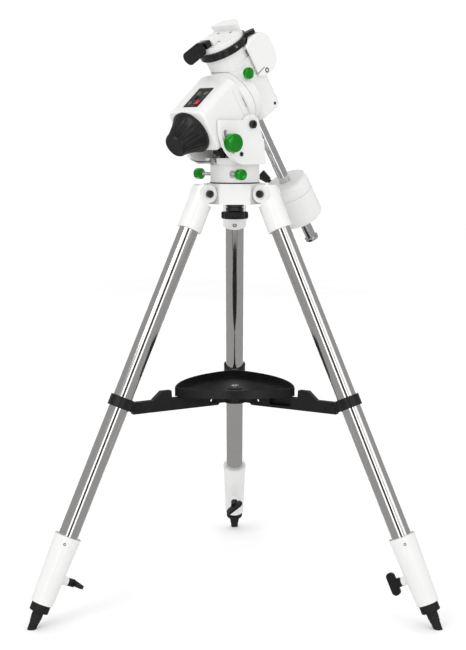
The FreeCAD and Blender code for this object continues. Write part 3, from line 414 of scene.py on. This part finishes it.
def centre_lock():
    """Dark washer stack and threaded bolt above a black lobed knob."""
    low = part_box("centre_lock_knob")[0].z / MM
    washers = [(6.0, low + 18.5), (20.3, low + 18.5), (20.4, low + 19.2), (20.4, low + 25.4),
               (19.6, low + 26.0), (16.8, low + 26.1), (16.8, low + 27.9), (19.8, low + 28.0),
               (20.4, low + 28.6), (20.4, low + 33.8), (19.8, low + 34.4), (6.0, low + 34.4)]
    piece("centre_lock_washers", turned_mesh("centre_lock_washers", washers, HEAD), DARK_STEEL,
          "centre_lock")
    bolt = threaded_outline(5.95, low + 30, low + 119.8, 1.75)
    piece("centre_lock_bolt", turned_mesh("centre_lock_bolt", bolt, HEAD, 48), STEEL, "centre_lock")
    knob = [(0.0, low + 0.6), (9.0, low + 0.6), (10.0, low), (22.0, low), (29.0, low + 0.6),
            (30.8, low + 3.0), (30.8, low + 14.0), (29.2, low + 16.4), (24.0, low + 17.0), (15.0, low + 17.2),
            (13.6, low + 17.9), (6.0, low + 17.9)]
    mesh = turned_mesh("centre_lock_grip", knob, HEAD, flutes=8, depth=5.2, fluted=(4, 5, 6, 7))
    piece("centre_lock_grip", mesh, BLACK, "centre_lock", ("centre_lock_knob",))


def leg_frame(number):
    """Origin on the leg's pivot, z down along the leg, x towards the tripod's axis."""
    pivot = Vector(JOINTS[f"leg_{number}_fold"]["pos_m"])
    inwards = Vector((AZIMUTH_AXIS.x, AZIMUTH_AXIS.y, pivot.z)) - pivot
    return axes_matrix(pivot, joint_axis(f"leg_{number}_extend"), inwards)


def feet():
    """Ribbed collar and tapered rubber tip, cut flat where it stands."""
    for number in LEGS:
        node = f"leg_{number}_foot"
        matrix = leg_frame(number)
        outline = [(0.0, 960.0), (17.3, 960.0), (17.3, 969.6), (21.2, 969.8)]
        z = 970.5
        for _ in range(3):
            outline += [(21.4, z), (21.4, z + 3.6), (20.2, z + 4.1), (20.2, z + 5.0)]
            z += 5.6
        outline += [(21.2, z), (20.6, 988.2), (14.2, 988.6), (12.4, 991.0), (12.1, 1004.0), (11.4, 1004.8),
                    (11.0, 1012.0), (10.0, 1012.8), (8.6, 1044.0), (0.0, 1044.0)]
        mesh = turned_mesh(node + "_tip", outline, matrix)
        cut = bmesh.new()
        cut.from_mesh(mesh)
        bmesh.ops.bisect_plane(cut, geom=cut.verts[:] + cut.edges[:] + cut.faces[:], dist=0.0000005,
                               plane_co=(0, 0, 0.0), plane_no=(0, 0, -1), clear_outer=True)
        edges = [edge for edge in cut.edges if edge.is_boundary]
        bmesh.ops.holes_fill(cut, edges=edges)
        cut.to_mesh(mesh)
        cut.free()
        piece(node + "_tip", mesh, RUBBER, BODY_OF[node], (node,))


def leg_details():
    """Set screws on the leg castings, and screw heads where the spreader arms meet the bands."""
    for number in LEGS:
        leg = leg_frame(number)
        screws = []
        for down, side, surface, size in ((830.0, 118.0, LOWER_CASTING_R, 1.0),
                                          (830.0, 242.0, LOWER_CASTING_R, 1.0),
                                          (75.0, 0.0, UPPER_CASTING_R, 1.5)):
            spot = turned(shifted(turned(shifted(leg, z=down), side), x=surface), 90, "Y")
            outline = [(0.0, -0.6), (1.6 * size, -0.6), (1.7 * size, 0.15), (3.0 * size, 0.15),
                       (3.2 * size, -0.3), (3.2 * size, -2.0)]
            screws.append(turned_mesh("screw", outline, spot, 24))
        piece(f"leg_{number}_set_screws", joined("screws", screws), DARK_STEEL, f"leg_{number}")
        hinge = joint_frame(f"arm_{number}_tilt")
        heads = []
        for side in (-1, 1):
            face = turned(shifted(hinge, z=side * 13.4), 0 if side > 0 else 180, "X")
            outline = [(0.0, -1.0), (1.8, -1.0), (2.0, -0.2), (4.4, -0.2), (5.3, -0.9), (5.4, -2.0)]
            heads.append(turned_mesh("head", outline, face, 32))
        piece(f"arm_{number}_pivot_heads", joined("heads", heads), STEEL, f"leg_{number}")


def control_panel():
    """Two sockets with contacts, their pockets in painted shade, a power socket with its pin, and plain printed
    marks.
    """
    body = BODY_OF["control_panel"]
    socket_x, power_x, power_y = 15.0, -19.0, 12.0
    marks = []
    for place, y in (("left", -11.0), ("right", 11.0)):
        face = shifted(PANEL, socket_x, y, PANEL_TOP)
        socket = rounded_block("socket", (12.6, 14.6, 1.2), shifted(face, z=-1.1), 0.3)
        piece(f"panel_socket_{place}", socket, SEAM_SHADE, body)
        contacts = []
        for i in range(8):
            spot = shifted(face, 1.5, -4.2 + 1.2 * i, -0.4)
            contacts.append(rounded_block("contact", (5.0, 0.5, 0.5), spot, 0.1))
        piece(f"panel_contacts_{place}", joined("contacts", contacts), BRASS, body)
        marks.append(rounded_block("mark", (0.8, 9.0, 0.24), shifted(PANEL, 5.6, y, PANEL_TOP), 0.05))
    rim = [(0.0, -1.2), (3.4, -1.2), (3.5, 0.9), (4.6, 0.9), (4.8, -0.4)]
    power = turned_mesh("panel_power", rim, shifted(PANEL, power_x, power_y, 0.6), 40)
    piece("panel_power_socket", power, STEEL, body)
    post = [(0.0, 1.4), (0.7, 1.2), (0.8, -1.2)]
    pin = turned_mesh("panel_pin", post, shifted(PANEL, power_x, power_y, 0.4), 16)
    piece("panel_power_pin", pin, BRASS, body)
    for x, y, wide in ((-8.5, -14.0, 8.0), (-8.5, 12.0, 9.0), (-27.0, 12.0, 6.0), (-3.0, 14.0, 5.0)):
        marks.append(rounded_block("mark", (0.8, wide, 0.24), shifted(PANEL, x, y, PANEL_TOP), 0.05))
    piece("panel_marks", joined("marks", marks), GREY, body)


def seams():
    """Fine joint line in painted shade on the near side of the polar housing, and the dark ring between the two
    units.
    """
    half = 0.3
    band = [(66.0, JOINT_PLANE - half), (69.6, JOINT_PLANE - half), (69.6, JOINT_PLANE + half),
            (66.0, JOINT_PLANE + half)]
    piece("unit_joint_ring", turned_mesh("unit_joint_ring", band, ALONG_POLAR, 96), DARK_GREEN,
          "dec_unit")
    line = [(-77.0, 41.0), (-77.0, -31.0), (-97.0, -30.0)]
    strips = []
    for (x0, z0), (x1, z1) in zip(line, line[1:]):
        middle = shifted(POLAR, (x0 + x1) / 2, HOUSING_SIDE + 0.05, (z0 + z1) / 2)
        length = math.hypot(x1 - x0, z1 - z0)
        angle = math.degrees(math.atan2(z1 - z0, x1 - x0))
        strips.append(rounded_block("strip", (length, 0.2, 0.5), turned(middle, -angle, "Y"), 0.08, 1))
    piece("polar_housing_seam", joined("seam", strips), SEAM_SHADE, "polar_unit")


def cover_details():
    """Screw plug, pointer slot in painted shade and a small plug on the declination unit's near side."""
    face = turned(shifted(POLAR, 38.0, -60.0, 22.0), 90, "X")
    plug = [(0.0, -0.3), (2.9, -0.3), (3.3, 0.5), (5.4, 0.5), (6.0, -0.2), (6.0, -0.8)]
    piece("cover_hex_plug", turned_mesh("cover_hex_plug", plug, face, 32), DARK_STEEL, "dec_unit")
    slot = rounded_block("slot", (26.0, 0.5, 2.0), turned(shifted(POLAR, 22.0, -59.95, 30.5), -4, "Y"), 0.2)
    piece("cover_pointer_slot", slot, SEAM_SHADE, "dec_unit")
    small = turned(shifted(POLAR, 26.0, -51.9, -56.0), 90, "X")
    dome = [(0.0, 0.5), (3.4, 0.4), (4.0, -0.2), (4.0, -1.0)]
    piece("housing_small_plug", turned_mesh("housing_small_plug", dome, small, 32), BLACK, "dec_unit")


def clutch_ring():
    """Raised lugs and set screws on the black clutch ring."""
    base = joint_frame("dec_clutch_ring_turn", joint_axis("ra_turn"))
    lugs = []
    for angle in (-100.0, -135.0, 30.0, 80.0, 150.0, 200.0):
        spot = shifted(turned(base, angle), x=53.6, z=1.0)
        lugs.append(rounded_block("lug", (7.0, 17.0, 11.5), spot, 2.2))
    piece("clutch_ring_lugs", joined("lugs", lugs), BLACK_PAINT, "dec_clutch_ring")
    outline = [(0.0, -1.4), (1.3, -1.4), (1.5, 0.1), (2.6, 0.1), (2.8, -0.3)]
    screws = []
    for angle in (-100.0, 30.0, 150.0):
        spot = turned(shifted(turned(base, angle), x=57.05, z=1.0), 90, "Y")
        screws.append(turned_mesh("screw", outline, spot, 24))
    piece("clutch_ring_screws", joined("screws", screws), STEEL, "dec_clutch_ring")


def polar_cap():
    """Push-on cap with a rim, a ribbed cone and a raised end."""
    matrix = axes_matrix(POLAR.translation, -joint_axis("ra_turn"), joint_axis("dec_turn"))
    outline = [(38.6, 189.5), (38.6, 178.7), (48.6, 178.6), (49.9, 179.6), (49.9, 184.4), (49.0, 185.4),
               (47.6, 187.0), (45.6, 190.6), (41.6, 197.0), (38.8, 203.0), (34.9, 211.5), (31.6, 219.0),
               (29.2, 226.5), (27.6, 233.5), (26.8, 235.5), (24.8, 238.3), (21.0, 238.4), (20.4, 237.8),
               (0.0, 237.6)]
    mesh = turned_mesh("polar_cap_ribbed", outline, matrix, flutes=22, depth=1.7,
                       fluted=(8, 9, 10, 11, 12))
    piece("polar_cap_ribbed", mesh, BLACK, "polar_cap", ("polar_cap",))


def altitude_details():
    """Black block round the tongue, partly painted shade under the housing between the ears, black cover on the
    front bolt's block, and a screw in the near ear.
    """
    # Partly painted shade: this black block fills the whole dark region between the ears, including the shade
    # under the housing.
    dark_block = rounded_block("dark_block", (12.8, 100.0, 25.0), shifted(HEAD, -16.0, 0.0, 1033.5), 2.0)
    piece("altitude_dark_block", dark_block, BLACK_PAINT, "polar_unit")
    cover = rounded_block("cover", (7.3, 27.2, 21.6), shifted(HEAD, -41.95, 0.0, 1016.8), 0.8)
    piece("front_bolt_cover", cover, BLACK_PAINT, "azimuth")
    neck_sleeve()
    ear = turned(shifted(HEAD, -48.0, EAR_FACE, 1023.0), 90, "X")
    outline = [(0.0, 0.6), (2.2, 0.6), (2.5, 1.8), (4.6, 1.8), (5.1, 1.2), (5.1, -0.6)]
    piece("ear_set_screw", turned_mesh("ear_set_screw", outline, ear, 32), DARK_STEEL, "azimuth")


def neck_sleeve():
    """White ring that closes the narrow gap between the housing's cavity and its side, beside the neck."""
    inner, outer, start, end = 55.0, 61.9, -62.2, -59.8
    outline = [(inner, start), (outer, start), (outer, end), (inner, end), (inner, start)]
    piece("neck_sleeve", turned_mesh("neck_sleeve", outline, ALONG_POLAR, 96), WHITE, "polar_unit")


def saddle_details():
    """Screw heads in the saddle's holes, a white jaw and the black cover of the clamp's block."""
    NODES["saddle_jaw"].data.materials[0] = WHITE
    cover = rounded_block("cover", (14.6, 30.6, 14.8), shifted(POLAR, -45.05, 0.0, 137.9), 0.7)
    piece("saddle_clamp_cover", cover, BLACK_PAINT, "saddle")
    outline = [(0.0, -3.0), (1.6, -3.0), (1.7, -0.6), (2.9, -0.6), (3.2, -1.0), (3.2, -4.0)]
    half_pitch = 20.0
    heads = []
    for x in (-half_pitch, half_pitch):
        for y in (-half_pitch, half_pitch):
            heads.append(turned_mesh("head", outline, shifted(POLAR, x, y, SADDLE_FLOOR), 24))
    piece("saddle_screw_heads", joined("heads", heads), DARK_STEEL, "saddle")


def front_bolt():
    """Polish the CAD bolt and its wire handle."""
    NODES["altitude_bolt_front"].data.materials[0] = CHROME


# ================================================================ stage
def stage():
    """Pale floor, bright even surroundings, and a room that only shows in reflections."""
    floor_mesh = bpy.data.meshes.new("floor")
    size = 14.0
    floor_mesh.from_pydata([(-size, -size, 0), (size, -size, 0), (size, size, 0), (-size, size, 0)], [],
                           [(0, 1, 2, 3)])
    floor = bpy.data.objects.new("floor", floor_mesh)
    floor_material, tree, shader = node_tree("pale_floor")
    pattern = noise(tree, 3.0)
    tree.links.new(ramp(tree, pattern.outputs["Fac"], (0.955, 0.955, 0.955), (0.975, 0.975, 0.975)),
                   shader.inputs["Base Color"])
    shader.inputs["Roughness"].default_value = 0.9
    floor_mesh.materials.append(floor_material)
    bpy.context.scene.collection.objects.link(floor)
    world = bpy.data.worlds.new("studio")
    world.use_nodes = True
    world.node_tree.nodes["Background"].inputs["Color"].default_value = (1, 1, 1, 1)
    world.node_tree.nodes["Background"].inputs["Strength"].default_value = 1.06
    bpy.context.scene.world = world
    bpy.context.scene.view_settings.view_transform = "Standard"
    floor.visible_glossy = False
    reflections()


def glowing(name, level):
    """Grey light of a level, for the cards."""
    material = bpy.data.materials.new(name)
    material.use_nodes = True
    tree = material.node_tree
    tree.nodes.clear()
    emission = tree.nodes.new("ShaderNodeEmission")
    emission.inputs["Color"].default_value = (level, level, level, 1)
    output = tree.nodes.new("ShaderNodeOutputMaterial")
    tree.links.new(emission.outputs["Emission"], output.inputs["Surface"])
    return material


def reflected_card(name, material, vertices, faces):
    """Card that only shows in reflections."""
    mesh = bpy.data.meshes.new(name)
    mesh.from_pydata(vertices, [], faces)
    mesh.materials.append(material)
    card = bpy.data.objects.new(name, mesh)
    bpy.context.scene.collection.objects.link(card)
    card.visible_camera = False
    card.visible_shadow = False
    card.visible_diffuse = False
    card.visible_transmission = False


def reflections():
    """Grey room with bright panels either side of a dark gap, in front and behind."""
    room, radius, height = 24, 7.0, 6.0
    ring_points = [(radius * math.cos(2 * math.pi * i / room), radius * math.sin(2 * math.pi * i / room))
                   for i in range(room)]
    vertices = [(x, y, -height) for x, y in ring_points] + [(x, y, height) for x, y in ring_points]
    vertices += [(0, 0, -height), (0, 0, height)]
    faces = []
    for i in range(room):
        j = (i + 1) % room
        faces.append((i, j, room + j, room + i))
        faces.append((j, i, 2 * room))
        faces.append((room + i, room + j, 2 * room + 1))
    reflected_card("room", glowing("room_grey", 0.42), vertices, faces)
    card_radius, card_height = 6.0, 5.0
    bright = glowing("panel_bright", 2.2)
    dark = glowing("panel_dark", 0.015)
    for view in range(2):
        middle = -90.0 + 180.0 * view
        for name, material, start, end in (("gap", dark, -9.0, 9.0), ("left", bright, -24.0, -11.0),
                                           ("right", bright, 11.0, 24.0)):
            corners = []
            for angle in (start, end):
                turn = math.radians(middle + angle)
                corners.append((card_radius * math.cos(turn), card_radius * math.sin(turn)))
            (x0, y0), (x1, y1) = corners
            vertices = [(x0, y0, -card_height), (x1, y1, -card_height), (x1, y1, card_height),
                        (x0, y0, card_height)]
            reflected_card(f"panel_{name}_{view}", material, vertices, [(0, 1, 2, 3)])


def area_light(name, place, target, size, power):
    """Square soft light in watts, aimed at a target."""
    light = bpy.data.lights.new(name, "AREA")
    light.shape = "SQUARE"
    light.size = size
    light.energy = power
    lamp = bpy.data.objects.new(name, light)
    lamp.location = place
    lamp.rotation_euler = (Vector(target) - Vector(place)).to_track_quat("-Z", "Y").to_euler()
    bpy.context.scene.collection.objects.link(lamp)


def camera():
    """Eye level with the head, a little above it, looking slightly down."""
    distance, height, pitch = 2.990, 1.057, 8.09
    data = bpy.data.cameras.new("camera")
    data.sensor_width = 36.0
    data.lens = 72.66
    eye = bpy.data.objects.new("camera", data)
    eye.location = (-0.004, AZIMUTH_AXIS.y - distance, height)
    eye.rotation_euler = (math.radians(90 - pitch), 0, 0)
    bpy.context.scene.collection.objects.link(eye)
    bpy.context.scene.camera = eye


dress_cad_nodes()
azimuth_bolts()
altitude_rear_bolt()
altitude_lock()
clutch_knob()
centre_lock()
feet()
leg_details()
control_panel()
seams()
cover_details()
clutch_ring()
saddle_details()
polar_cap()
altitude_details()
front_bolt()
stage()
area_light("key", (-2.2, -3.0, 3.2), (0, 0, 0.9), 1.6, 38)
area_light("fill", (2.6, -2.4, 2.0), (0, 0, 0.8), 1.8, 12)
camera()
